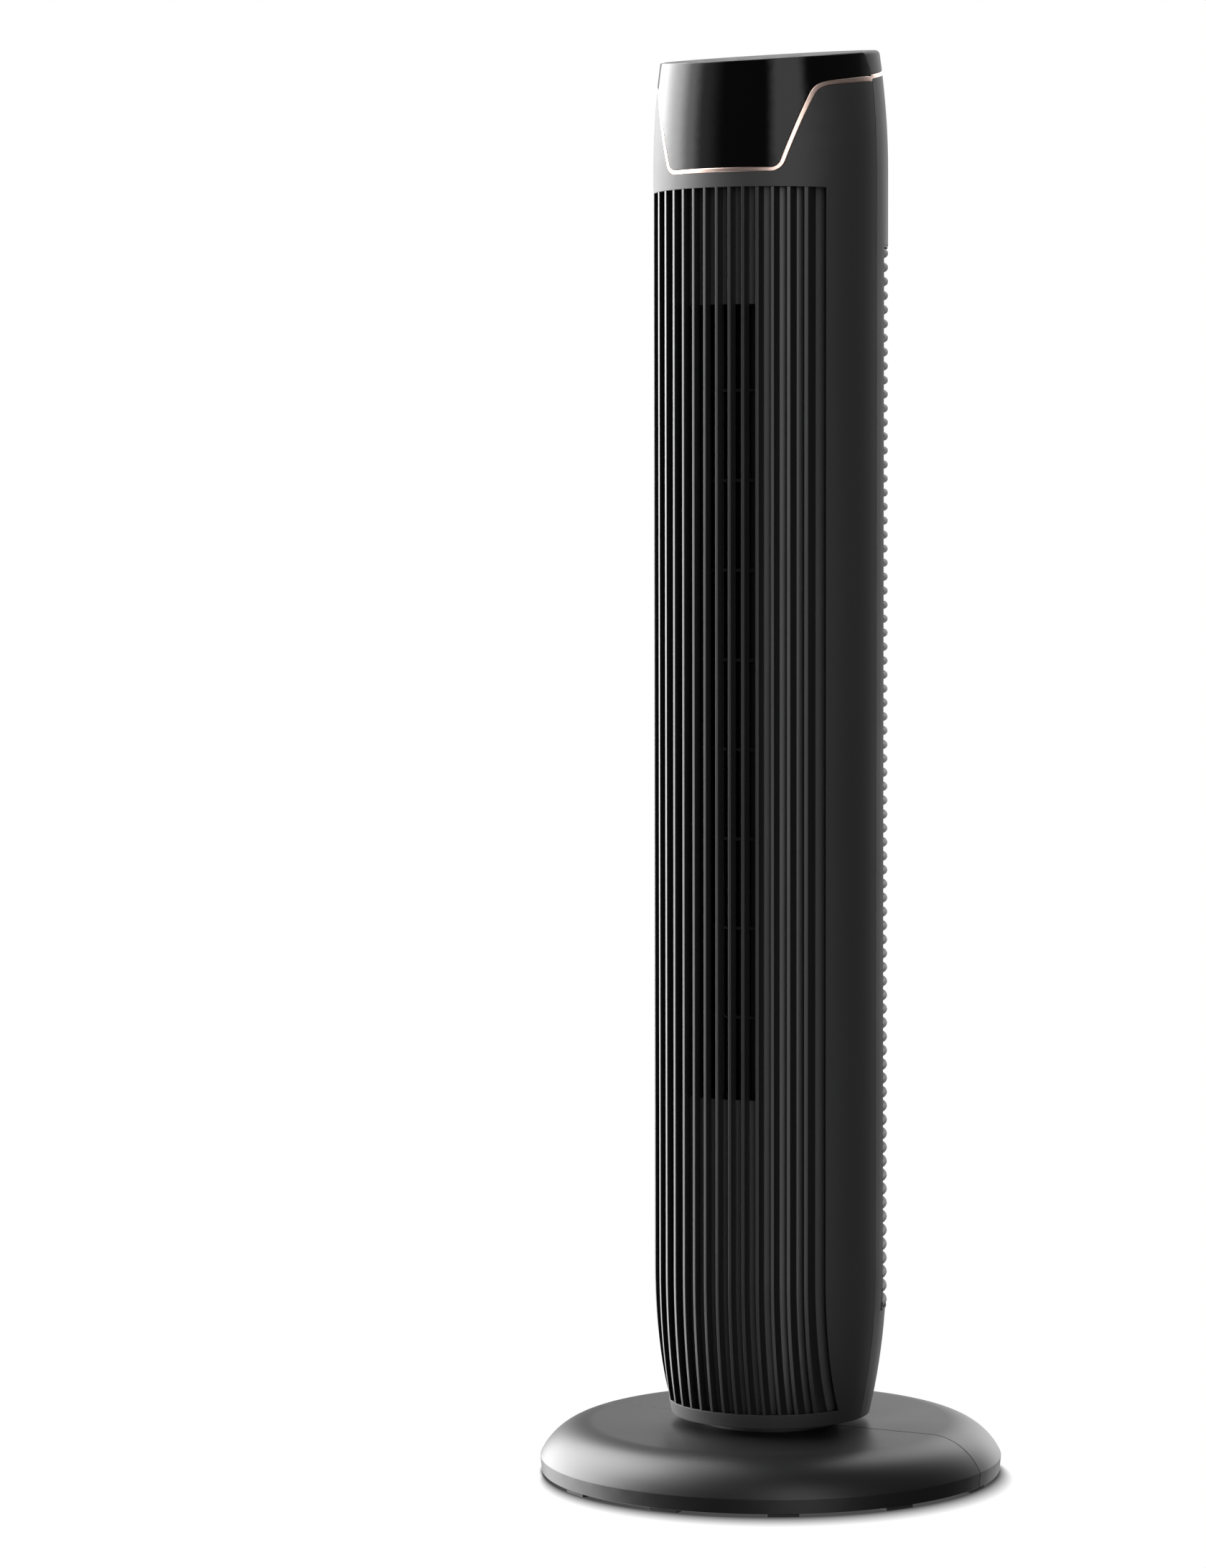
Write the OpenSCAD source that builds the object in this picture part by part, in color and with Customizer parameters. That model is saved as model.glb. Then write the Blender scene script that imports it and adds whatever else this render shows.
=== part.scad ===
// Tower fan: a slim cross-flow fan that swings on the pivot neck of a round base.
// Millimetres. +Z is up, the outlet grille faces -Y, and the origin is on the floor,
// under the middle of the base. A "depth" is measured inwards from the tower's outer skin.

/* [Overall] */
// Overall height, from the floor to the highest point of the top
overall_h = 1016; // [800:1:1250]
// Diameter of the round base
base_d = 330; // [270:1:400]
// Diameter of the tower body
body_d = 166; // [138:1:200]
// Slope of the top face, with its high side at the back, in degrees
top_tilt = 7.5; // [0:0.5:10]

/* [Base] */
// Height of the flat top of the base
base_h = 36.5; // [32:0.5:48]
// Radius of the rounded shoulder
shoulder_r = 42; // [34:1:52]
// Height of the crease where the shoulder meets the rim band
rim_h = 12.4; // [9:0.1:15]
// How far the rim band leans in, down to its lower edge
rim_draft = 1; // [0:0.1:2]
// Wall of the two base shells
base_wall = 3; // [2:0.1:4]
// Radial ribs under each base shell
rib_count = 6; // [4:1:9]
// Thickness of the ribs
rib_t = 2; // [1.5:0.1:3]
// Height of the ribs, below the underside of the flat top
rib_h = 9; // [6:0.5:12]
// Height of the rubber feet
foot_h = 2.2; // [2:0.1:5]
// Width of each foot
foot_w = 22; // [12:1:30]
// Radial depth of each foot
foot_depth = 12; // [8:1:16]
// Number of feet round the rim
foot_count = 12; // [6:1:16]

/* [Tower body] */
// Gap between the base and the tower's lower edge
neck_gap = 6.3; // [4:0.1:10]
// Wall of the housings
wall = 2.4; // [2:0.1:3]
// Width of the seams between housing halves and between base halves
seam_gap = 0.5; // [0.1:0.05:0.6]
// Radius of the curve that tucks in the foot of the tower
tuck_low_r = 474; // [420:1:700]
// Height at which the lower curve starts
tuck_low_z = 150; // [120:1:170]
// Radius of the curve that tucks in the head of the tower
tuck_high_r = 560; // [500:1:800]
// Distance below the overall height at which the upper curve starts
tuck_high_drop = 91; // [70:1:110]

/* [Outlet grille] */
// Half angle of the grille opening, seen from above, in degrees
grille_angle = 54.4; // [45:0.1:56]
// Height of the grille's lower edge above the tower's lower edge
grille_low = 10; // [9:0.5:20]
// Distance of the grille's upper edge below the overall height
grille_drop = 107; // [100:1:130]
// Number of upright fins
fin_count = 13; // [9:2:17]
// Thickness of each fin
fin_t = 2.1; // [1.6:0.1:3]
// Depth of the fins
fin_depth = 7.8; // [6:0.1:9]

/* [Inlet grille] */
// Solid margin between the seam and the end of the bars, in degrees
inlet_margin = 10; // [6:1:20]
// Height of the centre of the lowest bar
bar_first_z = 123.5; // [118:0.5:140]
// Distance of the highest bar below the overall height
bar_last_drop = 148.3; // [140:0.5:180]
// Wanted spacing of the bars
bar_pitch = 9.92; // [8:0.1:14]
// Height of each bar
bar_h = 5.8; // [4:0.1:7]
// Depth of each bar
bar_depth = 5; // [4:0.1:6]

/* [Head] */
// Half width of the trim line's lower run
trim_low_half = 43; // [30:0.5:45]
// Half width at which the trim line reaches its upper run
trim_high_half = 62; // [56:0.5:68]
// Distance of the trim line's lower run below the overall height
trim_low_drop = 95.2; // [85:0.1:98]
// Distance of the trim line's upper corner below the overall height
trim_high_drop = 36.5; // [30:0.5:45]
// Slope of the trim line's upper run, with its high side at the back, in degrees
trim_tilt = 10; // [0:0.5:11]
// Width of the trim line
trim_w = 3; // [2:0.1:4]
// How far the trim line stands proud of the skin
trim_proud = 0.2; // [0.1:0.05:0.4]
// Thickness of the glossy front lens
lens_t = 2; // [1.6:0.1:2.2]
// Thickness of the top panel
cap_t = 3; // [2.5:0.1:4]
// Radius of the rounded edge of the top
cap_round = 3; // [1:0.5:4]
// Radius of each push button
button_r = 6; // [4:0.1:7.5]
// Travel of each push button
button_travel = 0.8; // [0.4:0.1:1.2]
// Radius of the arc that the buttons sit on
button_arc_r = 42; // [38:1:46]
// Angle between buttons, in degrees
button_step = 26; // [24:1:28]

/* [Air path] */
// Outer radius of the cross-flow impeller
impeller_r = 48; // [38:1:52]
// Inner radius of the blades
blade_in_r = 36.5; // [30:0.5:38]
// Blades round the impeller
blade_count = 32; // [18:1:36]
// Thickness of each blade
blade_t = 1; // [0.8:0.1:1.4]
// Thickness of the impeller's discs
disc_t = 2; // [1.5:0.1:3]
// Blade rows of the impeller
impeller_rows = 9; // [5:1:11]
// Height of the impeller's lower disc
impeller_low_z = 267; // [262:1:280]
// Distance of the impeller's upper disc below the overall height
impeller_drop = 183; // [175:1:200]
// Left edge of the outlet window, seen from the front
window_left = 45; // [38:1:48]
// Right edge of the outlet window, seen from the front
window_right = 27; // [22:1:30]
// Wall of the air duct
duct_wall = 2; // [1.6:0.1:2.5]
// Gap between the impeller and the duct where they are nearest
scroll_gap = 4; // [3:0.1:6]

/* [Drive] */
// Radius of the motor shaft
shaft_r = 4; // [3:0.1:5]
// Radius of the motor's rotor
rotor_r = 20; // [16:0.5:22]
// Outer radius of the motor's stator
stator_r = 34; // [30:0.5:36]
// Height of the stator's laminations
stator_h = 30; // [20:1:36]
// Outer radius of the plain bearings
bush_r = 8; // [7:0.1:9]
// Length of each plain bearing
bush_h = 6; // [5:0.5:8]

/* [Swing] */
// Swing to each side of straight ahead, in degrees
swing_half = 35; // [20:1:40]
// Outer radius of the pivot neck
neck_r = 49; // [46:0.5:54]
// Radius of the turntable's hollow spigot
spigot_r = 14.9; // [13:0.1:15]
// Bore of the spigot, for the cable
spigot_bore_r = 11.5; // [9:0.1:12]
// Tooth module of the swing gears
gear_module = 1.25; // [1:0.05:1.3]
// Teeth of the fixed swing gear
ring_teeth = 36; // [35:1:38]
// Teeth of the swing pinion
pinion_teeth = 15; // [13:1:16]
// Thickness of the swing gears
gear_t = 5; // [4:0.1:6]

/* [Fits] */
// Running clearance of a shaft in its bearing
run_fit = 0.06; // [0.03:0.01:0.1]
// Clearance between pieces that are assembled and stay put
fit = 0.05; // [0.02:0.01:0.1]
// Clearance round parts that move without guiding each other
free_fit = 0.35; // [0.3:0.05:0.6]
// Total backlash between the swing gears
backlash = 0.3; // [0.2:0.05:0.4]

/* [Hidden] */
$fn = 72;

// The finishes
satin_black = "#2b2c2e";
deep_black = "#141415";
gloss_black = "#08090a";
rose_gold = "#d9b3a6";
rubber_black = "#1c1c1c";
steel = "#b4b7ba";
copper = "#b87333";
bronze = "#a8854b";
board_green = "#1f5a3a";
natural_white = "#dcdcd6";

// Sizes that follow from the ones above
big = 1600;
base_r = base_d / 2;
body_half = body_d / 2;
shoulder_z = base_h - shoulder_r;
shoulder_reach = sqrt(pow(shoulder_r, 2) - pow(rim_h - shoulder_z, 2));
shoulder_end = asin((rim_h - shoulder_z) / shoulder_r);
neck_hole_r = neck_r + 0.2;
tower_z = base_h + neck_gap;
tuck_high_z = overall_h - tuck_high_drop;
profile_top = overall_h + 8;
arc_steps = 12;
arc_levels = concat(
    [for (i = [0:arc_steps]) tower_z + i * (tuck_low_z - tower_z) / arc_steps],
    [for (i = [0:arc_steps]) tuck_high_z + i * (profile_top - tuck_high_z) / arc_steps]);

grille_half = body_half * sin(grille_angle);
grille_z0 = tower_z + grille_low;
grille_z1 = overall_h - grille_drop;
fin_pitch = 2 * grille_half / (fin_count + 1);
fin_hook = 3.6;
rail_t = 2;
rail_z1 = grille_z1 + fin_hook + rail_t;
backing_z0 = rail_z1 + 0.7;
panel_depth = fin_depth + 0.2;
back_depth = lens_t + 0.2;
ledge_t = 2.2;

plate_lip = 1.2;
plate_z = tower_z + plate_lip + fit;
plate_t = 3;
plate_top = plate_z + plate_t;

impeller_top_z = overall_h - impeller_drop;
row_pitch = (impeller_top_z - impeller_low_z) / impeller_rows;
duct_z0 = impeller_low_z - 5;
duct_z1 = impeller_top_z + 8;
window_z0 = impeller_low_z + 7.7;
window_z1 = impeller_top_z - 4.4;
holder_r = body_half - panel_depth - duct_wall - 0.5;
holder_t = 3;

inlet_z0 = bar_first_z - bar_h / 2 - 2.1;
inlet_z1 = overall_h - bar_last_drop + bar_h / 2 + 2.1;
bar_gaps = round((overall_h - bar_last_drop - bar_first_z) / bar_pitch);
bar_step = (overall_h - bar_last_drop - bar_first_z) / bar_gaps;
inlet_ribs = [50, 90, 130];

top_back_y = body_r(overall_h);
top_mid_z = overall_h - tan(top_tilt) * top_back_y;
top_mid_r = body_r(top_mid_z);
top_front_y = body_r(top_mid_z - tan(top_tilt) * top_mid_r);
rim_shift = (top_back_y - top_front_y) / cos(top_tilt) / 2;
rim_r = top_mid_r + 0.3;

trim_low_z = overall_h - trim_low_drop;
trim_high_z = overall_h - trim_high_drop;
trim_r = body_r(trim_high_z + 3);
trim_high_y = -sqrt(pow(trim_r, 2) - pow(trim_high_half, 2));
trim_side_z = trim_high_z - tan(trim_tilt) * trim_high_y;
lens_lean = 24;

screw_r = 1.5;
screw_x = body_half - 25;
screw_levels = [tower_z + 60, overall_h - 126, overall_h - 56];
screw_seat = 9;
boss_r = 4.6;
boss_l = 12;

flange_top = base_h - base_wall - 3.5;
flange_t = 4;
flange_r = neck_r + 27;
base_screw_r = neck_r + 15;
sleeve_r = spigot_r + 3.1;
ring_bottom = flange_top - flange_t - 8;
washer_t = 0.5;
washer_gap = 0.05;
neck_top = plate_z - plate_lip - washer_t - washer_gap;
neck_wall = 2.4;
rim_in_r = neck_r - 6;
gear_z = flange_top;
pitch_ring = gear_module * ring_teeth / 2;
pitch_pinion = gear_module * pinion_teeth / 2;
gear_centre = pitch_ring + pitch_pinion;
pressure_angle = 20;
pinion_shaft_r = 2.5;
stop_w = 6;
stop_in_r = neck_r - 11;
stop_angle = swing_half + 2 * asin(stop_w / 2 / stop_in_r) + 0.6;
swing_motor_r = 21;
swing_motor_h = 17;
swing_ear_x = 26;

board_t = 1.6;
supply_half = body_half - 51;
supply_y = 49 - body_half;
supply_z = plate_top + 6.2;
supply_h = 86;
supply_post_w = 8;
display_z0 = trim_low_z + 14;
display_z1 = trim_low_z + 46;
display_y = -body_half + 15;
display_half = 22;
display_post_x = display_half + 4;
panel_drop = 13;
panel_half = top_mid_r - 31;
panel_y0 = 25 - top_mid_r;
panel_d = 40;
cap_post_x = panel_half - 5;
gland_r = 6;
gland_z = tower_z + 36;

mount_z = duct_z0 - holder_t;
grommet_h = 6;
bell_top = mount_z - grommet_h;
bell_t = 3;
bell_wall = 2.2;
bell_gap = 4;
winding_h = 8;
stator_z0 = bell_top - bell_t - 4 - winding_h - stator_h + 2;
bell_low = stator_z0 - winding_h - 5;
motor_screw_r = 30;
shaft_low = bell_low - 8;
hub_r = 10;

// Heights and radii of the tower's outer skin
function body_r(z) = body_half
    - (z < tuck_low_z ? tuck_low_r - sqrt(pow(tuck_low_r, 2) - pow(tuck_low_z - z, 2)) : 0)
    - (z > tuck_high_z ? tuck_high_r - sqrt(pow(tuck_high_r, 2) - pow(z - tuck_high_z, 2)) : 0);
function levels(z0, z1) =
    concat([z0], [for (z = arc_levels) if (z > z0 + 0.1 && z < z1 - 0.1) z], [z1]);
function skin(depth, z0, z1) = [for (z = levels(z0, z1)) [body_r(z) - depth, z]];
function reversed(p) = [for (i = [len(p) - 1:-1:0]) p[i]];
function arc(x, y, r, a0, a1, n) =
    [for (i = [0:n]) let (a = a0 + (a1 - a0) * i / n) [x + r * cos(a), y + r * sin(a)]];
function polar(r, a) = [r * cos(a), r * sin(a)];

// A shell of the tower between two depths, and the solid inside one depth
module skin_ring(outer, inner, z0, z1) {
    rotate_extrude() polygon(concat(skin(outer, z0, z1), reversed(skin(inner, z0, z1))));
}
module skin_solid(depth, z0, z1) {
    rotate_extrude() polygon(concat([[0, z0]], skin(depth, z0, z1), [[0, z1]]));
}
module ring(r_out, r_in, h) {
    rotate_extrude() translate([r_in, 0]) square([r_out - r_in, h]);
}

// Half spaces
module front_side() {
    translate([-big, -2 * big - seam_gap / 2, -big]) cube(2 * big);
}
module rear_side() {
    translate([-big, seam_gap / 2, -big]) cube(2 * big);
}
module on_top() {
    translate([0, 0, top_mid_z]) rotate([top_tilt, 0, 0]) children();
}
module under_top(depth) {
    on_top() translate([-big, -big, -2 * big - depth]) cube(2 * big);
}
module above_trim(drop) {
    translate([0, 0, trim_side_z]) rotate([trim_tilt, 0, 0])
        translate([-big, -big, -drop]) cube(2 * big);
}
module behind_lens(gap) {
    translate([0, 0, trim_side_z]) rotate([lens_lean, 0, 0])
        translate([-big, -gap, -big]) cube(2 * big);
}

// Outline of the trim line, seen from the front, grown by a margin
function corner(p, before, after, r) =
    let (u = (before - p) / norm(before - p), v = (after - p) / norm(after - p),
         half = acos(u * v) / 2, reach = r / tan(half), start = p + u * reach, end = p + v * reach)
    [for (i = [0:6]) let (t = i / 6)
        pow(1 - t, 2) * start + 2 * t * (1 - t) * p + pow(t, 2) * end];
function trim_side(grow) =
    let (dir = [trim_high_half - trim_low_half, trim_high_z - trim_low_z],
         n = [dir[1], -dir[0]] / norm(dir),
         low = [trim_low_half + grow * (1 + n[1]) / n[0], trim_low_z - grow],
         high = [trim_high_half + grow * (1 + n[1]) / n[0], trim_high_z - grow],
         run = [for (i = [1:8]) let (a = asin(trim_high_half / trim_r) * (1 - i / 8) + 90 * i / 8)
             [trim_r * sin(a) + grow * (1 - i / 8), trim_side_z - tan(trim_tilt) * trim_r * cos(a) - grow]])
    concat([[0, trim_low_z - grow]], corner(low, [0, low[1]], high, 9 + grow),
           corner(high, low, run[2], 12 - grow), [for (i = [3:7]) run[i]],
           [[body_half + 20, run[7][1]], [body_half + 20, overall_h + 20], [0, overall_h + 20]]);
module trim_region(grow) {
    half = trim_side(grow);
    mirrored = [for (p = reversed(half)) if (p[0] > 0) [-p[0], p[1]]];
    rotate([90, 0, 0]) linear_extrude(height = 2 * body_half) polygon(concat(half, mirrored));
}

// Involute gear, tooth 0 centred on +X
function involute(rb, a) = rb * [cos(a) + a * PI / 180 * sin(a), sin(a) - a * PI / 180 * cos(a)];
function turned(p, a) = [p[0] * cos(a) - p[1] * sin(a), p[0] * sin(a) + p[1] * cos(a)];
module gear_outline(teeth, play) {
    rp = gear_module * teeth / 2;
    rb = rp * cos(pressure_angle);
    tip = rp + gear_module;
    root = rp - 1.25 * gear_module;
    at_pitch = 180 / PI * tan(pressure_angle) - pressure_angle;
    half_tooth = 90 / teeth - 180 / PI * play / 2 / rp + at_pitch;
    last = 180 / PI * sqrt(pow(tip / rb, 2) - 1);
    first = root > rb ? 180 / PI * sqrt(pow(root / rb, 2) - 1) : 0;
    flank = [for (i = [0:5]) turned(involute(rb, first + (last - first) * i / 5), -half_tooth)];
    foot = polar(root, -half_tooth);
    lower = root < rb ? concat([foot], flank) : flank;
    upper = [for (p = reversed(lower)) [p[0], -p[1]]];
    polygon([for (k = [0:teeth - 1]) for (p = concat(lower, upper)) turned(p, 360 * k / teeth)]);
}

// ---- Base ----

function shell_outer() =
    concat([[neck_hole_r, base_h]],
           arc(base_r - shoulder_reach, shoulder_z, shoulder_r, 90, shoulder_end, 18),
           [[base_r - rim_draft, foot_h]]);
function shell_inner(t) =
    concat([[neck_hole_r, base_h - t]],
           arc(base_r - shoulder_reach, shoulder_z, shoulder_r - t, 90,
               acos((shoulder_reach - t) / (shoulder_r - t)), 18),
           [[base_r - rim_draft - t, foot_h]]);

module base_shell() {
    lip_t = 2.5;
    rib_z = base_h - base_wall - rib_h;
    hoop_r = (flange_r + base_r) / 2;
    difference() {
        union() {
            rotate_extrude() polygon(concat(shell_outer(), reversed(shell_inner(base_wall))));
            translate([0, 0, foot_h]) ring(base_r - rim_draft - 1, base_r - foot_depth - 3, lip_t);
            intersection() {
                rotate_extrude() polygon(concat([[flange_r + 3, foot_h]],
                    [for (p = shell_inner(base_wall - 0.4)) [max(p[0], flange_r + 3), p[1]]]));
                union() {
                    for (i = [0:2 * rib_count - 1])
                        rotate([0, 0, (i + 0.5) * 180 / rib_count])
                            translate([0, -rib_t / 2, rib_z]) cube([base_r, rib_t, base_h]);
                    translate([0, 0, rib_z]) ring(hoop_r + rib_t, hoop_r, base_h);
                }
            }
            for (i = [0:5]) rotate([0, 0, 30 + 60 * i]) translate([base_screw_r, 0, flange_top])
                cylinder(r = 5, h = base_h - base_wall + 0.5 - flange_top);
        }
        for (i = [0:5]) rotate([0, 0, 30 + 60 * i]) translate([base_screw_r, 0, flange_top - 1])
            cylinder(r = screw_r, h = 5.5);
    }
}
module base_front_half() {
    color(satin_black) intersection() { base_shell(); front_side(); }
}
module base_rear_half() {
    color(satin_black) intersection() { base_shell(); rear_side(); }
}
module foot_pads() {
    color(rubber_black) intersection() {
        ring(base_r - rim_draft - 0.5, base_r - foot_depth, foot_h);
        union() {
            for (i = [0:foot_count - 1]) rotate([0, 0, i * 360 / foot_count])
                translate([base_r - 2 * foot_depth, -foot_w / 2, 0])
                    cube([2 * foot_depth, foot_w, foot_h]);
        }
    }
}
module pivot_base() {
    color(deep_black) difference() {
        union() {
            rotate_extrude() polygon([
                [spigot_r + run_fit, flange_top - flange_t - 2], [sleeve_r, flange_top - flange_t - 2],
                [sleeve_r, flange_top - flange_t], [flange_r, flange_top - flange_t],
                [flange_r, flange_top], [neck_r, flange_top], [neck_r, neck_top], [rim_in_r, neck_top],
                [rim_in_r, neck_top - 2], [neck_r - neck_wall, neck_top - 2 - neck_wall],
                [neck_r - neck_wall, flange_top], [sleeve_r, flange_top],
                [sleeve_r, flange_top + gear_t + 3], [spigot_r + run_fit, flange_top + gear_t + 3]]);
            for (side = [-1, 1]) rotate([0, 0, -90 + side * stop_angle])
                translate([stop_in_r - 1, -stop_w / 2, flange_top - 0.5])
                    cube([neck_r - neck_wall - stop_in_r + 2, stop_w, 8]);
        }
        for (i = [0:5]) rotate([0, 0, 30 + 60 * i])
            translate([base_screw_r, 0, flange_top - flange_t - 1])
                cylinder(r = screw_r + 0.4, h = flange_t + 2);
    }
}
module swivel_gear() {
    color(natural_white) translate([0, 0, gear_z]) difference() {
        rotate([0, 0, 90]) linear_extrude(height = gear_t) gear_outline(ring_teeth, backlash / 2);
        translate([0, 0, -1]) cylinder(r = sleeve_r + fit, h = gear_t + 2);
    }
}
module swivel_washer() {
    color(natural_white) translate([0, 0, neck_top]) ring(neck_r - 0.4, rim_in_r + 0.4, washer_t);
}
module base_screws() {
    color(steel) for (i = [0:5]) rotate([0, 0, 30 + 60 * i]) translate([base_screw_r, 0, 0]) {
        translate([0, 0, flange_top - flange_t - 2.4]) cylinder(r = 3.4, h = 2.4);
        translate([0, 0, flange_top - flange_t - 0.1])
            cylinder(r = screw_r - fit, h = flange_t + 4);
    }
}

// ---- Swing ----

module turntable() {
    color(deep_black) difference() {
        union() {
            translate([0, 0, plate_z])
                cylinder(r = body_r(plate_z) - wall - 0.3, h = plate_t);
            translate([0, 0, plate_z - plate_lip]) cylinder(r = neck_r - 1, h = plate_lip + 0.5);
            translate([0, 0, ring_bottom]) cylinder(r = spigot_r, h = plate_z - ring_bottom);
            rotate([0, 0, -90]) translate([stop_in_r, -stop_w / 2, flange_top + 4])
                cube([rim_in_r - 0.5 - stop_in_r, stop_w, plate_z - flange_top - 3.5]);
            for (side = [-1, 1])
                translate([side * (supply_half + 1) - supply_post_w / 2, supply_y - 4, plate_top - 0.5])
                    cube([supply_post_w, 9, 28]);
        }
        translate([0, 0, ring_bottom - 1]) cylinder(r = spigot_bore_r, h = 60);
        translate([0, gear_centre, plate_z - 3]) cylinder(r = 8, h = plate_t + 6);
        for (side = [-1, 1]) translate([side * swing_ear_x, gear_centre, plate_z - 3])
            cylinder(r = screw_r, h = plate_t + 6);
        translate([-supply_half - fit, supply_y - fit, supply_z - 0.2])
            cube([2 * (supply_half + fit), board_t + 2 * fit, supply_h]);
    }
}

module retaining_ring() {
    color(steel) translate([0, 0, ring_bottom])
        ring(sleeve_r + 4, spigot_r + 0.02, 6 - 0.3);
}
module swing_motor() {
    color(steel) translate([0, gear_centre, plate_top]) difference() {
        union() {
            translate([0, 0, -plate_t - 0.5]) cylinder(r = 7.6, h = plate_t + 1);
            cylinder(r = swing_motor_r, h = swing_motor_h);
            translate([-swing_ear_x, -4.5, 0]) cube([2 * swing_ear_x, 9, 2]);
            for (side = [-1, 1]) translate([side * swing_ear_x, 0, 0]) cylinder(r = 4.5, h = 2);
        }
        translate([0, 0, -plate_t - 1]) cylinder(r = pinion_shaft_r + run_fit, h = plate_t + 14);
        for (side = [-1, 1]) translate([side * swing_ear_x, 0, -1]) cylinder(r = screw_r + 0.2, h = 4);
    }
}
module swing_motor_screws() {
    color(steel) for (side = [-1, 1]) translate([side * swing_ear_x, gear_centre, plate_top + 2]) {
        cylinder(r = 2.8, h = 2);
        translate([0, 0, -plate_t - 1.5]) cylinder(r = screw_r - fit, h = plate_t + 1.6);
    }
}
module swing_pinion() {
    color(natural_white) translate([0, gear_centre, gear_z + 0.8]) {
        rotate([0, 0, -90 + 180 / pinion_teeth])
            linear_extrude(height = gear_t - 0.4) gear_outline(pinion_teeth, backlash / 2);
        cylinder(r = pinion_shaft_r, h = plate_top + 10 - gear_z);
    }
}

// ---- Housings ----

module fin_slabs(z0, z1) {
    for (i = [0:fin_count - 1])
        translate([(i - (fin_count - 1) / 2) * fin_pitch - fin_t / 2, -body_half, z0])
            cube([fin_t, body_half - 5, z1 - z0]);
}
module front_column(half, z0, z1) {
    translate([-half, -body_half, z0]) cube([2 * half, body_half - 5, z1 - z0]);
}
module plate_groove(side_wall) {
    // A lip under the turntable and a ledge over it hold the tower on the plate
    skin_ring(side_wall, side_wall + ledge_t, tower_z, tower_z + plate_lip);
    skin_ring(side_wall, side_wall + ledge_t, plate_top + fit, plate_top + fit + 1.4);
}
module front_housing() {
    color(satin_black) difference() {
        union() {
            intersection() {
                difference() {
                    skin_ring(0, wall, tower_z, overall_h);
                    front_column(grille_half, grille_z0, grille_z1);
                    trim_region(trim_w / 2 + fit);
                }
                front_side();
            }
            // Backing behind the trim line and the lens
            intersection() {
                skin_ring(back_depth, back_depth + ledge_t, backing_z0, overall_h);
                front_side();
                under_top(cap_t + 7);
            }
            // Groove for the turntable
            intersection() {
                plate_groove(wall - 0.3);
                front_side();
            }
            // Returns down both sides of the grille opening
            intersection() {
                skin_ring(wall - 0.4, fin_depth + 0.1, plate_top + 2, grille_z1 + 6);
                for (side = [-1, 1])
                    translate([side * (grille_half + 1) - 1, -body_half, tower_z])
                        cube([2, body_half - seam_gap, overall_h]);
            }
            // Screw bosses, each on a web from the side wall
            intersection() {
                skin_solid(wall / 2, tower_z, overall_h);
                for (z = screw_levels, side = [-1, 1]) translate([side * screw_x, -seam_gap / 2, z]) {
                    rotate([90, 0, 0]) cylinder(r = boss_r, h = boss_l);
                    translate([side < 0 ? -body_half : 0, -boss_l, -1.2]) cube([body_half, boss_l, 2.4]);
                }
            }
            // Posts that carry the display board
            intersection() {
                skin_solid(back_depth + 0.6, tower_z, overall_h);
                for (side = [-1, 1], z = [display_z0 - 4, display_z1 + 4])
                    translate([side * display_post_x, display_y, z]) rotate([90, 0, 0])
                        cylinder(r = 2.2, h = 20);
            }
        }
        for (z = screw_levels, side = [-1, 1])
            translate([side * screw_x, 1, z]) rotate([90, 0, 0]) cylinder(r = screw_r, h = boss_l);
        // Window for the display
        translate([-display_half, -body_half, display_z0])
            cube([2 * display_half, body_half / 2, display_z1 - display_z0]);
    }
}

module inlet_sector(r_in, r_out, margin, z0, z1) {
    translate([0, 0, z0]) rotate_extrude(angle = 180 - 2 * margin, start = margin)
        translate([r_in, 0]) square([r_out - r_in, z1 - z0]);
}
module rear_housing() {
    color(satin_black) difference() {
        union() {
            intersection() {
                difference() {
                    skin_ring(0, wall, tower_z, overall_h);
                    inlet_sector(body_half - 20, body_half + 20, inlet_margin, inlet_z0, inlet_z1);
                    above_trim(trim_w / 2 + fit);
                }
                rear_side();
            }
            // Ledge behind the trim line and the skirt of the top cap
            intersection() {
                skin_ring(back_depth, back_depth + ledge_t, trim_side_z - 12, overall_h);
                rear_side();
                under_top(cap_t + 7);
            }
            intersection() {
                plate_groove(wall - 0.3);
                rear_side();
            }
            intersection() {
                skin_solid(wall / 2, tower_z, overall_h);
                for (z = screw_levels, side = [-1, 1])
                    translate([side * screw_x, seam_gap / 2, z]) rotate([-90, 0, 0])
                        cylinder(r = boss_r, h = body_half);
            }
        }
        for (z = screw_levels, side = [-1, 1]) translate([side * screw_x, 0, z]) rotate([-90, 0, 0]) {
            translate([0, 0, -1]) cylinder(r = screw_r + 0.3, h = screw_seat + 2);
            translate([0, 0, screw_seat]) cylinder(r = 3.6, h = body_half);
        }
        translate([0, body_half / 2, gland_z]) rotate([-90, 0, 0]) cylinder(r = gland_r, h = body_half);
    }
}
module cord_gland() {
    skin_y = body_r(gland_z);
    color(rubber_black) translate([0, 0, gland_z]) rotate([-90, 0, 0]) difference() {
        union() {
            translate([0, 0, skin_y - wall - 3]) cylinder(r = gland_r - fit, h = wall + 6);
            translate([0, 0, skin_y + 1.6]) cylinder(r = gland_r + 2.5, h = 2);
            translate([0, 0, skin_y - wall - 4.5]) cylinder(r = gland_r + 2, h = 2.5);
        }
        translate([0, 0, skin_y - 10]) cylinder(r = 3.5, h = 20);
    }
}
module housing_screws() {
    color(steel) for (z = screw_levels, side = [-1, 1])
        translate([side * screw_x, screw_seat, z]) rotate([-90, 0, 0]) {
            cylinder(r = 3.1, h = 2.2);
            translate([0, 0, -screw_seat - 10]) cylinder(r = screw_r - fit, h = screw_seat + 10.1);
        }
}
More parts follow.
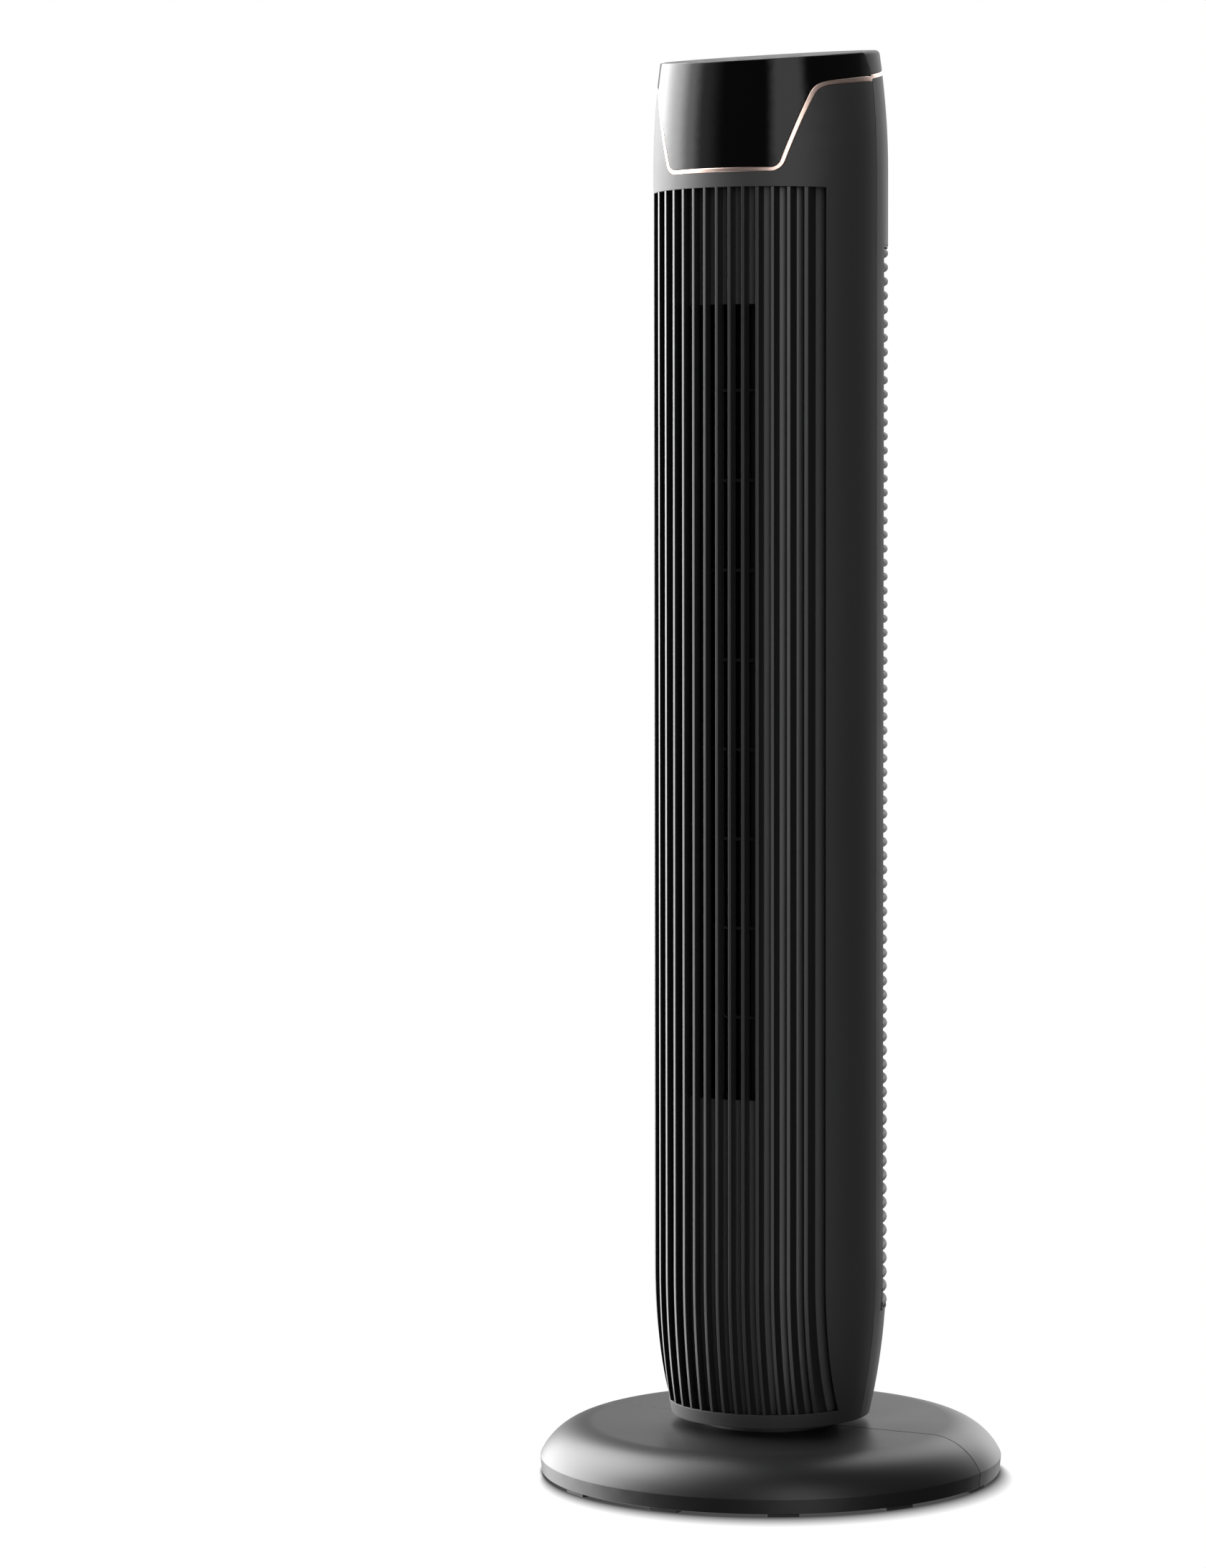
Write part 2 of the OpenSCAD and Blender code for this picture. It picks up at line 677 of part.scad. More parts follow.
module front_grille() {
    rail_z0 = plate_top + fit + 1.8;
    color(satin_black) union() {
        intersection() {
            union() {
                skin_ring(0, fin_depth, grille_z0 + fit, grille_z1 - fit);
                skin_ring(wall + 0.2, fin_depth, rail_z0, rail_z1);
            }
            fin_slabs(rail_z0, rail_z1);
        }
        intersection() {
            union() {
                skin_ring(wall + 0.2, fin_depth, rail_z0, rail_z0 + rail_t);
                skin_ring(wall + 0.2, fin_depth, rail_z1 - rail_t, rail_z1);
            }
            front_column(grille_half - 0.5, rail_z0 - 1, rail_z1 + 1);
        }
    }
}
module rear_grille() {
    margin = inlet_margin + 0.15;
    frame_t = 1.6;
    frame_in = body_half - bar_depth - 0.4;
    bar_margin = margin + 0.4;
    color(satin_black) union() {
        for (i = [0:bar_gaps])
            translate([0, 0, bar_first_z + i * bar_step])
                rotate_extrude(angle = 180 - 2 * bar_margin, start = bar_margin) bar_section();
        // Frame round the bars
        difference() {
            inlet_sector(frame_in, body_half - 0.4, margin, inlet_z0 + fit, inlet_z1 - fit);
            inlet_sector(frame_in - 5, body_half + 5, margin + frame_t,
                inlet_z0 + frame_t, inlet_z1 - frame_t);
        }
        // Upright ribs that the bars cross
        for (a = inlet_ribs)
            translate([0, 0, inlet_z0 + frame_t / 2])
                rotate_extrude(angle = frame_t, start = a - frame_t / 2)
                    translate([frame_in - 3.6, 0])
                        square([4.8, inlet_z1 - inlet_z0 - frame_t]);
    }
}
module bar_section() {
    // A flat back and a nose that is half a circle
    nose = bar_h / 2;
    polygon(concat([[body_half - bar_depth, -nose]], arc(body_half - nose, 0, nose, -90, 90, 8),
                   [[body_half - bar_depth, nose]]));
}

// ---- Head ----

module head_trim() {
    color(rose_gold) union() {
        intersection() {
            skin_ring(-trim_proud, back_depth - fit, trim_low_z - 10, overall_h);
            difference() {
                trim_region(trim_w / 2);
                trim_region(-trim_w / 2);
            }
        }
        intersection() {
            skin_ring(-trim_proud, back_depth - fit, trim_low_z - 10, overall_h);
            difference() {
                above_trim(trim_w / 2);
                above_trim(-trim_w / 2);
            }
            translate([-big, 0, -big]) cube(2 * big);
        }
    }
}
module display_lens() {
    color(gloss_black) difference() {
        intersection() {
            skin_ring(0, lens_t, trim_low_z - 10, profile_top);
            trim_region(-trim_w / 2 - fit);
            front_side();
            under_top(0.3);
        }
        behind_lens(0.15);
    }
}
module cap_rim() {
    // The rounded edge of the top, a flared skirt below it
    on_top() translate([0, rim_shift, 0]) rotate_extrude() polygon(concat(
        [[0, 0]], arc(rim_r - cap_round, -cap_round, cap_round, 90, 4, 8),
        [[rim_r + 20, -60], [0, -60]]));
}
function button_angle(i) = -90 + (i - 2) * button_step;
module at_button(i) {
    on_top() translate(button_arc_r * [cos(button_angle(i)), sin(button_angle(i)), 0]) children();
}
module top_cap() {
    cap_z0 = trim_side_z - 8;
    color(satin_black) difference() {
        union() {
            difference() {
                intersection() {
                    union() {
                        intersection() {
                            skin_solid(0, cap_z0, profile_top);
                            behind_lens(-0.1);
                        }
                        skin_solid(lens_t + 0.1, cap_z0, profile_top);
                    }
                    above_trim(-trim_w / 2 - fit);
                    cap_rim();
                }
                intersection() {
                    skin_solid(lens_t, cap_z0 - 5, profile_top);
                    under_top(cap_t);
                }
                difference() {
                    under_top(cap_t);
                    behind_lens(0);
                }
            }
            // Posts that carry the control board
            for (side = [-1, 1], y = [panel_y0 + 6, panel_y0 + panel_d - 4.5]) on_top()
                translate([side * cap_post_x, y, -panel_drop])
                    cylinder(r = 2.4, h = panel_drop - cap_t + 0.5);
        }
        for (i = [0:4]) at_button(i) translate([0, 0, -cap_t - 1])
            cylinder(r = button_r + free_fit, h = cap_t + 2);
    }
}
module button(i) {
    stem = panel_drop - 4.1 - button_travel - 0.1;
    color(gloss_black) at_button(i) {
        translate([0, 0, -cap_t - 1.5]) cylinder(r = button_r, h = cap_t + 1.35);
        translate([0, 0, -cap_t - 1.5]) cylinder(r = button_r + 1.6, h = 1.4);
        translate([0, 0, -stem]) cylinder(r = 2, h = stem - cap_t);
    }
}
module button_power() { button(2); }
module button_speed() { button(1); }
module button_mode() { button(3); }
module button_timer() { button(0); }
module button_swing() { button(4); }
module control_board() {
    color(board_green) on_top() translate([-panel_half, panel_y0, -panel_drop - board_t])
        cube([2 * panel_half, panel_d, board_t]);
}
module tact_switches() {
    color(steel) for (i = [0:4]) at_button(i) translate([0, 0, -panel_drop]) {
        translate([-3, -3, 0]) cube([6, 6, 3.5]);
        translate([0, 0, 3.4]) cylinder(r = 1.75, h = 0.7);
    }
}
module display_board() {
    color(board_green) translate([-display_half - 8, display_y, display_z0 - 8])
        cube([2 * display_half + 16, board_t, display_z1 - display_z0 + 16]);
}
module led_modules() {
    color(natural_white) for (i = [-1:1])
        translate([i * 13 - 6, display_y - 6, display_z0 + 6]) cube([12, 6, 18]);
}
module ir_receiver() {
    color(gloss_black) translate([-4, display_y - 5, display_z0 - 3]) cube([7, 5, 7]);
}

// ---- Air path ----

module scroll_outline() {
    // A spiral that opens from behind the impeller to the window's left edge
    near = impeller_r + scroll_gap;
    far = body_half - panel_depth - duct_wall - 0.3;
    first = 105;
    last = 180 + acos(window_left / far);
    shares = [for (i = [0:20]) i / 20];
    inner = [for (t = shares) polar(near + (far - near) * pow(t, 1.3), first + (last - first) * t)];
    outer = [for (t = shares)
        polar(near + (far - near) * pow(t, 1.3) + duct_wall, first + (last - first) * t)];
    polygon(concat(inner, reversed(outer)));
}
module tongue_outline() {
    // From the window's right edge back to the impeller, then out to the side
    tip = polar(impeller_r + scroll_gap, -50);
    edge = [window_right, -sqrt(pow(body_half - panel_depth - 1, 2) - pow(window_right, 2))];
    out = polar(body_half - panel_depth - 1, -22);
    polygon([edge, edge + [duct_wall, 0.6], tip + [duct_wall, -duct_wall], out + [0, -duct_wall],
             out, tip + [duct_wall, duct_wall], tip]);
}
module air_duct() {
    z0 = grille_z0 - 2;
    z1 = grille_z1 + 2;
    color(satin_black) union() {
        difference() {
            intersection() {
                skin_ring(panel_depth, panel_depth + duct_wall, z0, z1);
                front_column(grille_half + 1.5, z0, z1);
            }
            translate([-window_left, -body_half, window_z0])
                cube([window_left + window_right, body_half - 5, window_z1 - window_z0]);
        }
        translate([0, 0, duct_z0]) linear_extrude(height = duct_z1 - duct_z0) {
            scroll_outline();
            tongue_outline();
        }
    }
}
module motor_screw_spots() {
    for (i = [0:3]) rotate([0, 0, 45 + 90 * i]) translate([motor_screw_r, 0, 0]) children();
}
module motor_mount() {
    color(steel) difference() {
        translate([0, 0, mount_z]) cylinder(r = holder_r, h = holder_t - fit);
        translate([0, 0, mount_z - 1]) cylinder(r = hub_r + 4, h = holder_t + 2);
        motor_screw_spots() translate([0, 0, mount_z - 1]) cylinder(r = 2.3, h = holder_t + 2);
    }
}
module motor_grommets() {
    color(rubber_black) motor_screw_spots() translate([0, 0, bell_top])
        ring(5.5, 2.3, grommet_h - fit);
}
module motor_screws() {
    color(steel) motor_screw_spots() {
        translate([0, 0, mount_z + holder_t]) cylinder(r = 3.8, h = 2);
        translate([0, 0, bell_top - 4]) cylinder(r = 1.95, h = grommet_h + holder_t + 4.1);
    }
}
module motor_upper_bell() {
    skirt = winding_h + stator_h / 2 - bell_gap / 2 + 2;
    color(steel) difference() {
        union() {
            translate([0, 0, bell_top - bell_t]) cylinder(r = stator_r + bell_wall + 0.1, h = bell_t);
            translate([0, 0, bell_top - bell_t - skirt])
                ring(stator_r + bell_wall + 0.1, stator_r + 0.1, skirt + 0.5);
            translate([0, 0, bell_top - bush_h - 1]) cylinder(r = bush_r + 2.5, h = bush_h + 3);
        }
        translate([0, 0, bell_top - bush_h - 2]) cylinder(r = bush_r + 0.02, h = bush_h + 6);
        motor_screw_spots() translate([0, 0, bell_top - bell_t - 2]) cylinder(r = 2, h = bell_t + 4);
    }
}
module motor_lower_bell() {
    skirt = stator_z0 + stator_h / 2 - bell_gap / 2 - bell_low;
    color(steel) difference() {
        union() {
            translate([0, 0, bell_low]) cylinder(r = stator_r + bell_wall + 0.1, h = bell_t);
            translate([0, 0, bell_low]) ring(stator_r + bell_wall + 0.1, stator_r + 0.1, skirt);
            translate([0, 0, bell_low - 2]) cylinder(r = bush_r + 2.5, h = bush_h + 3);
        }
        translate([0, 0, bell_low - 3]) cylinder(r = bush_r + 0.02, h = bush_h + 6);
    }
}
module motor_bushes() {
    color(bronze) for (z = [bell_low - 1, bell_top - bush_h + 1])
        translate([0, 0, z]) ring(bush_r, shaft_r + run_fit, bush_h);
}
module motor_stator() {
    color(steel) translate([0, 0, stator_z0]) ring(stator_r, rotor_r + 0.6, stator_h);
}
module motor_windings() {
    color(copper) for (z = [stator_z0 - winding_h, stator_z0 + stator_h])
        translate([0, 0, z]) ring(stator_r - 2, rotor_r + 2, winding_h - 0.5);
}
module bearing_holder() {
    color(steel) difference() {
        union() {
            translate([0, 0, duct_z1 + fit]) cylinder(r = holder_r, h = holder_t);
            translate([0, 0, duct_z1 + fit]) cylinder(r = bush_r + 4, h = 12);
        }
        translate([0, 0, duct_z1 - 1]) cylinder(r = bush_r + 0.02, h = 16);
    }
}
module bearing_bush() {
    color(bronze) translate([0, 0, duct_z1 + 2]) ring(bush_r, shaft_r + run_fit, 10);
}
module blade() {
    // A thin curved strip, leading with its outer edge
    lean = 16;
    mid = (blade_in_r + impeller_r) / 2;
    last = impeller_r - 0.6;
    t = blade_t / 2;
    polygon([polar(blade_in_r, -t / blade_in_r * 57.3), polar(mid, 3 - t / mid * 57.3),
             polar(last, lean - t / last * 57.3), polar(last, lean + t / last * 57.3),
             polar(mid, 3 + t / mid * 57.3 * 1.6), polar(blade_in_r, t / blade_in_r * 57.3)]);
}
module impeller() {
    color(deep_black) union() {
        for (i = [1:impeller_rows - 1])
            translate([0, 0, impeller_low_z + i * row_pitch - disc_t / 2])
                ring(impeller_r, blade_in_r - 2, disc_t);
        for (z = [impeller_low_z, impeller_top_z])
            translate([0, 0, z - disc_t / 2]) ring(impeller_r, hub_r + fit, disc_t);
        for (i = [0:blade_count - 1]) rotate([0, 0, i * 360 / blade_count])
            translate([0, 0, impeller_low_z])
                linear_extrude(height = impeller_top_z - impeller_low_z) blade();
    }
}
module impeller_hub() {
    color(rubber_black) {
        for (z = [impeller_low_z - 4.5, impeller_top_z - 6])
            translate([0, 0, z]) ring(hub_r, shaft_r + 0.02, 10.5);
    }
}
module impeller_top_shaft() {
    color(steel) translate([0, 0, impeller_top_z - 7]) cylinder(r = shaft_r, h = 24);
}
module motor_shaft() {
    color(steel) translate([0, 0, shaft_low]) cylinder(r = shaft_r, h = impeller_low_z + 7 - shaft_low);
}
module motor_rotor() {
    color(steel) translate([0, 0, stator_z0 - 1]) ring(rotor_r, shaft_r + 0.02, stator_h + 2);
}

// ---- Electrics in the foot of the tower ----

module power_board() {
    color(board_green) translate([-supply_half, supply_y, supply_z])
        cube([2 * supply_half, board_t, supply_h]);
}
module motor_capacitor() {
    color(natural_white) translate([-14, supply_y + board_t, supply_z + 38]) cube([28, 15, 22]);
}
module terminal_block() {
    color("#2f6f4a") translate([-18, supply_y + board_t, supply_z + 70]) difference() {
        cube([36, 9, 10]);
        for (i = [0:3]) translate([i * 9 + 4.5, 5, 5]) cylinder(r = 2, h = 8);
    }
}

base_front_half();
base_rear_half();
foot_pads();
pivot_base();
swivel_gear();
swivel_washer();
base_screws();
turntable();
retaining_ring();
front_housing();
rear_housing();
front_grille();
rear_grille();
air_duct();
head_trim();
display_lens();
top_cap();
housing_screws();
motor_mount();
motor_upper_bell();
motor_lower_bell();
motor_stator();
motor_windings();
motor_bushes();
motor_grommets();
motor_screws();
bearing_holder();
bearing_bush();
swing_motor();
swing_motor_screws();
power_board();
motor_capacitor();
terminal_block();
cord_gland();
control_board();
tact_switches();
display_board();
led_modules();
ir_receiver();
impeller();
impeller_hub();
impeller_top_shaft();
motor_shaft();
motor_rotor();
swing_pinion();
button_power();
button_speed();
button_mode();
button_timer();
button_swing();
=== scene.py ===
# %% [markdown]
# # A tower fan, finished in Blender
#
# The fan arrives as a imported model: every casing, gear, board and screw is already there at its
# real size, in metres, standing on the floor at the origin. This lesson keeps that model as the
# frame and gives it its looks. Each step first says what the piece or the finish is on the real
# fan, then builds it.

# %% Load the frame
import math

import bmesh
import bpy
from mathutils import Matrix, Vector


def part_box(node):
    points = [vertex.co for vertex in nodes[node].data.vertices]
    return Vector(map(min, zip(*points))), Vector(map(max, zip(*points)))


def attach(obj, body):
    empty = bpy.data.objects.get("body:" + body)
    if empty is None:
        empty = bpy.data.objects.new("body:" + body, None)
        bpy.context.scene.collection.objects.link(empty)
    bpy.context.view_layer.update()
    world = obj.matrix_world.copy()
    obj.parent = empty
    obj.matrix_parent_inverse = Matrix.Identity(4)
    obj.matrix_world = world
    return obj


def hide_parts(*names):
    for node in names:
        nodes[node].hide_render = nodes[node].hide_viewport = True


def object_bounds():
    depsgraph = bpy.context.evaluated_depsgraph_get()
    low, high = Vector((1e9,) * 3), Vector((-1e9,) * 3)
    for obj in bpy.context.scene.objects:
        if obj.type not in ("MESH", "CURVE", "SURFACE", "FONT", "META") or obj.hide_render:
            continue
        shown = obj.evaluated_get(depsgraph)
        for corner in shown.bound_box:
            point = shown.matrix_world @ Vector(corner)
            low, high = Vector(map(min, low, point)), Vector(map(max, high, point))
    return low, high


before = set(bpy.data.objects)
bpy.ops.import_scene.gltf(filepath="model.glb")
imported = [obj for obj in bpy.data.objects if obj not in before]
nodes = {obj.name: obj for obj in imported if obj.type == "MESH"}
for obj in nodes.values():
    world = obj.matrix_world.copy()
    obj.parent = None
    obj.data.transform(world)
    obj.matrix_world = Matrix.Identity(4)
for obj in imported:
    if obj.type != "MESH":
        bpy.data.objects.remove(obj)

cad_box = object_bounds()
MM = 0.001
fan_height = cad_box[1].z - cad_box[0].z
print("loaded", len(nodes), "nodes; the fan is", round(fan_height / MM), "mm tall")

# %% [markdown]
# ## The camera
#
# A tower fan is usually shown from slightly to one side, with a long lens, so that the upright
# edges stay parallel. The camera stands 3.3 m away, 27 degrees round to the right, a little above
# the middle of the tower, and looks down by three degrees. The fan stands right of the middle of
# the picture, which is done with a sideways shift of the lens and not by turning the camera.

# %% Place the camera
CAMERA_AZIMUTH = math.radians(27)
CAMERA_DISTANCE = 3309 * MM
CAMERA_HEIGHT = 674.3 * MM
CAMERA_PITCH = 0.055
FOCAL_LENGTH = 106.96
SIDE_SHIFT = -0.107

camera_data = bpy.data.cameras.new("camera")
camera_data.lens = FOCAL_LENGTH
camera_data.shift_x = SIDE_SHIFT
camera = bpy.data.objects.new("camera", camera_data)
bpy.context.scene.collection.objects.link(camera)
camera.location = (
    CAMERA_DISTANCE * math.sin(CAMERA_AZIMUTH),
    -CAMERA_DISTANCE * math.cos(CAMERA_AZIMUTH),
    CAMERA_HEIGHT,
)
camera.rotation_euler = (math.pi / 2 - CAMERA_PITCH, 0, CAMERA_AZIMUTH)
bpy.context.scene.camera = camera
print("camera at", [round(x, 3) for x in camera.location])

# %% [markdown]
# ## Colours and nodes
#
# Paint and plastic colours are read off in sRGB, as a hex value, but the shader mixes light in
# linear values, so one function turns the first into the second. A second small function adds a
# node with its settings and links, so that a material reads as a list of what it is made of.

# %% Helpers for materials
def linear(hex_colour, shade=1.0):
    """An sRGB hex colour as linear RGBA, made darker or lighter by shade."""
    parts = [int(hex_colour[i:i + 2], 16) / 255 for i in (1, 3, 5)]
    parts = [p / 12.92 if p <= 0.04045 else ((p + 0.055) / 1.055) ** 2.4 for p in parts]
    return [p * shade for p in parts] + [1.0]


def add_node(tree, kind, settings=None, inputs=None):
    """Adds a node. An input takes a value, or the socket of another node that it links from."""
    made = tree.nodes.new(kind)
    for name, value in (settings or {}).items():
        setattr(made, name, value)
    for name, value in (inputs or {}).items():
        if isinstance(value, bpy.types.NodeSocket):
            tree.links.new(value, made.inputs[name])
        else:
            made.inputs[name].default_value = value
    return made


def new_material(name):
    """An empty material, its tree, and the place of each point on the piece."""
    material = bpy.data.materials.new(name)
    material.use_nodes = True
    tree = material.node_tree
    tree.nodes.clear()
    return material, tree, add_node(tree, "ShaderNodeTexCoord").outputs["Object"]


# %% [markdown]
# ## Moulded plastics
#
# Most of the fan is injection-moulded ABS. The mould is spark-eroded, which leaves a grain a few
# tenths of a millimetre across that spreads the reflections into soft gradients. That grain is too
# fine to be seen at this distance, so it is drawn at 0.9 mm, twice its real width, and very
# shallow. Plastic also flows and cools unevenly, which shows as a hand-wide drift in its gloss, so
# a second, slow noise moves the roughness a little. ABS has an index of refraction of about 1.53,
# which sets how much it mirrors head-on. One function holds this recipe, and each plastic gives it
# its own colour, gloss and grain.

# %% A recipe for moulded plastic
DRIFT_MM = 111.1
TONE_SPREAD = 0.12
NOISE_LOW, NOISE_HIGH = 0.3, 0.7


def moulded_plastic(name, colour, roughness, grain_mm, grain_depth, ior=1.53, drift=0.03):
    """Moulded plastic or rubber: a grain of a real width, and a slow drift of gloss."""
    material, tree, place = new_material(name)
    grain = add_node(tree, "ShaderNodeTexNoise", inputs={
        "Vector": place, "Scale": 1 / (grain_mm * MM), "Detail": 2.0})
    flow = add_node(tree, "ShaderNodeTexNoise", inputs={
        "Vector": place, "Scale": 1 / (DRIFT_MM * MM), "Detail": 2.0})
    gloss = add_node(tree, "ShaderNodeMapRange", inputs={
        "Value": flow.outputs["Fac"], "From Min": NOISE_LOW, "From Max": NOISE_HIGH,
        "To Min": roughness - drift, "To Max": roughness + drift})
    tone = add_node(tree, "ShaderNodeMix", {"data_type": "RGBA"}, {
        "Factor": grain.outputs["Fac"], "A": linear(colour, 1 - TONE_SPREAD),
        "B": linear(colour, 1 + TONE_SPREAD)})
    bump = add_node(tree, "ShaderNodeBump", inputs={
        "Height": grain.outputs["Fac"], "Distance": grain_depth * MM, "Strength": 1.0})
    shader = add_node(tree, "ShaderNodeBsdfPrincipled", inputs={
        "Base Color": tone.outputs["Result"], "Roughness": gloss.outputs["Result"],
        "IOR": ior, "Normal": bump.outputs["Normal"]})
    add_node(tree, "ShaderNodeOutputMaterial", inputs={"Surface": shader.outputs["BSDF"]})
    return material


# %% [markdown]
# Roughness and index of refraction start from those of ABS and are then matched to the studio
# below. The tower's skin and the fins end at an index of 1.7, which is higher than ABS really has,
# and the base at 1.45, a little lower. The base's reflections are also sharper. The wall behind the
# fins is the same black plastic, painted a lighter grey for the light that falls on it between the
# fins. Mouldings that hardly show are left plain.

# %% Four kinds of visible black ABS, a plain one, and rubber
satin_abs = moulded_plastic("spark_eroded_black_abs", "#1b1b1c", 0.6, 0.9, 0.012, ior=1.72)
# Painted shade: the base is the same plastic as the skin, given a darker colour to darken its
# shaded parts.
base_abs = moulded_plastic("fine_grained_black_abs", "#141415", 0.38, 0.9, 0.008, ior=1.45)
fin_abs = moulded_plastic("smooth_moulded_black_abs", "#1c1c1d", 0.44, 0.9, 0.006, ior=1.7)
# Painted light: the wall behind the fins is black ABS given a lighter grey for the light between
# the fins.
painted_light_wall_abs = moulded_plastic("black_abs_painted_lighter", "#444446", 0.36, 0.9, 0.006)
deep_abs = moulded_plastic("plain_black_abs", "#0e0e0f", 0.48, 1.2, 0.015)
rubber = moulded_plastic("moulded_black_rubber", "#161616", 0.72, 0.8, 0.04, ior=1.52)

# %% [markdown]
# ## Gloss black acrylic
#
# The front of the head is a thin lens of tinted acrylic, cast in a polished mould and screwed over
# the display. It has no grain, but a polished plastic is never quite flat: a ripple a few
# centimetres wide, called orange peel, bends the edges of what it mirrors. The push buttons are
# moulded in the same finish. Acrylic has an index of refraction of 1.49. Here it is set to 1.32,
# below the real value, because the left panel is made bright enough for the satin skin and would be
# too bright in the lens.

# %% Gloss black acrylic
gloss_acrylic = moulded_plastic("polished_black_acrylic", "#020202", 0.1, 18.0, 0.02, ior=1.32,
                                drift=0.02)

# %% [markdown]
# ## Nylon and acetal
#
# The swing gears and the washer are natural acetal, a white plastic that is slightly waxy and runs
# without grease. Light enters it a little before it comes back, so it is given a touch of
# subsurface scattering, 1 mm deep.

# %% Natural acetal
acetal = moulded_plastic("natural_acetal", "#dcdcd6", 0.4, 1.0, 0.01, ior=1.48)
acetal_shader = next(n for n in acetal.node_tree.nodes if n.type == "BSDF_PRINCIPLED")
acetal_shader.inputs["Subsurface Weight"].default_value = 0.15
acetal_shader.inputs["Subsurface Radius"].default_value = (1 * MM, 1 * MM, 1 * MM)
print("plastics:", [m.name for m in (satin_abs, base_abs, fin_abs, painted_light_wall_abs, deep_abs, rubber,
                                      gloss_acrylic, acetal)])


# %% [markdown]
# ## Metals
#
# The trim line is plastic plated with chrome and tinted rose gold: a mirror with a faint haze, so
# it has a low roughness and almost no texture. The brackets and screws are zinc-plated steel,
# whose crystals show as patches a few millimetres wide. The bearings are sintered bronze, pressed
# from powder and full of small pores. All are metals, so the colour is that of the reflection and
# the index of refraction keeps its default.

# %% A recipe for metal
def metal(name, colour, roughness, patch_mm, contrast, pit_depth):
    """Metal whose tone and haze change from patch to patch, with shallow pits."""
    haze = 0.1 * contrast
    material, tree, place = new_material(name)
    patches = add_node(tree, "ShaderNodeTexVoronoi", inputs={
        "Vector": place, "Scale": 1 / (patch_mm * MM)})
    grain = add_node(tree, "ShaderNodeTexNoise", inputs={
        "Vector": place, "Scale": 2 / (patch_mm * MM), "Detail": 3.0})
    tone = add_node(tree, "ShaderNodeMix", {"data_type": "RGBA"}, {
        "Factor": patches.outputs["Distance"], "A": linear(colour),
        "B": linear(colour, 1 - contrast)})
    gloss = add_node(tree, "ShaderNodeMapRange", inputs={
        "Value": grain.outputs["Fac"], "From Min": NOISE_LOW, "From Max": NOISE_HIGH,
        "To Min": roughness - haze, "To Max": roughness + haze})
    bump = add_node(tree, "ShaderNodeBump", inputs={
        "Height": grain.outputs["Fac"], "Distance": pit_depth * MM, "Strength": 1.0})
    shader = add_node(tree, "ShaderNodeBsdfPrincipled", inputs={
        "Base Color": tone.outputs["Result"], "Metallic": 1.0, "Roughness": gloss.outputs["Result"],
        "Normal": bump.outputs["Normal"]})
    add_node(tree, "ShaderNodeOutputMaterial", inputs={"Surface": shader.outputs["BSDF"]})
    return material


# %% Rose gold, zinc and bronze
rose_plating = metal("rose_gold_plating", "#f3d6ca", 0.3, 6.0, 0.06, 0.001)
zinc_steel = metal("zinc_plated_steel", "#b9bcc0", 0.34, 3.0, 0.25, 0.01)
bronze = metal("sintered_bronze", "#a8854b", 0.5, 0.8, 0.4, 0.04)


# %% [markdown]
# ## Laminations and windings
#
# A motor's stator is a stack of steel sheets, half a millimetre thick, and its coils are wound
# from enamelled copper wire. Both show as fine stripes one above the other, which a wave texture
# draws. The sheets are drawn 1 mm thick, twice the real size, so that they can be seen.

# %% Stripes of sheet and wire
# At scale 1 a wave texture has a band in every pi / 10 metres.
BAND = math.pi / 10
JOINT_SHADE = 0.25


def striped_metal(name, colour, roughness, stripe_mm, stripe_depth):
    """Metal in level stripes, dark in the joints between them."""
    material, tree, place = new_material(name)
    wave = add_node(tree, "ShaderNodeTexWave", {"bands_direction": "Z"}, {
        "Vector": place, "Scale": BAND / (stripe_mm * MM), "Distortion": 0.4})
    tone = add_node(tree, "ShaderNodeMix", {"data_type": "RGBA"}, {
        "Factor": wave.outputs["Fac"], "A": linear(colour, JOINT_SHADE), "B": linear(colour)})
    bump = add_node(tree, "ShaderNodeBump", inputs={
        "Height": wave.outputs["Fac"], "Distance": stripe_depth * MM, "Strength": 1.0})
    shader = add_node(tree, "ShaderNodeBsdfPrincipled", inputs={
        "Base Color": tone.outputs["Result"], "Metallic": 1.0, "Roughness": roughness,
        "Normal": bump.outputs["Normal"]})
    add_node(tree, "ShaderNodeOutputMaterial", inputs={"Surface": shader.outputs["BSDF"]})
    return material


laminations = striped_metal("laminated_steel", "#8f9194", 0.45, 1.0, 0.1)
copper_wire = striped_metal("enamelled_copper_wire", "#b4642e", 0.3, 0.8, 0.25)

# %% [markdown]
# ## Circuit board
#
# A board is glass fibre under a green, slightly glossy solder mask. The copper tracks run under the
# mask and lift it by a few hundredths of a millimetre, so that they show as a paler green. A brick
# pattern of long, thin cells stands for the tracks, which lie 3 mm apart.

# %% Green solder mask over copper tracks
TRACK_MM = 3
MASK_MM = 0.05

board, tree, place = new_material("green_solder_mask")
tracks = add_node(tree, "ShaderNodeTexBrick", inputs={
    "Vector": place, "Scale": 1 / (TRACK_MM * MM), "Mortar Size": 0.12, "Brick Width": 4.0,
    "Row Height": 1.0, "Color1": linear("#1c5236"), "Color2": linear("#1f5a3a"),
    "Mortar": linear("#3c8a5c")})
raised = add_node(tree, "ShaderNodeBump", inputs={
    "Height": tracks.outputs["Fac"], "Distance": MASK_MM * MM, "Strength": 1.0})
shader = add_node(tree, "ShaderNodeBsdfPrincipled", inputs={
    "Base Color": tracks.outputs["Color"], "Roughness": 0.28, "IOR": 1.5,
    "Normal": raised.outputs["Normal"]})
add_node(tree, "ShaderNodeOutputMaterial", inputs={"Surface": shader.outputs["BSDF"]})
print("metals and boards:", [m.name for m in (rose_plating, zinc_steel, bronze, laminations,
                                              copper_wire, board)])

# %% [markdown]
# ## Give each inner piece its finish
#
# The pieces inside the tower and the base keep their shape from the frame, because each is already
# the right shape, and only take a finish.

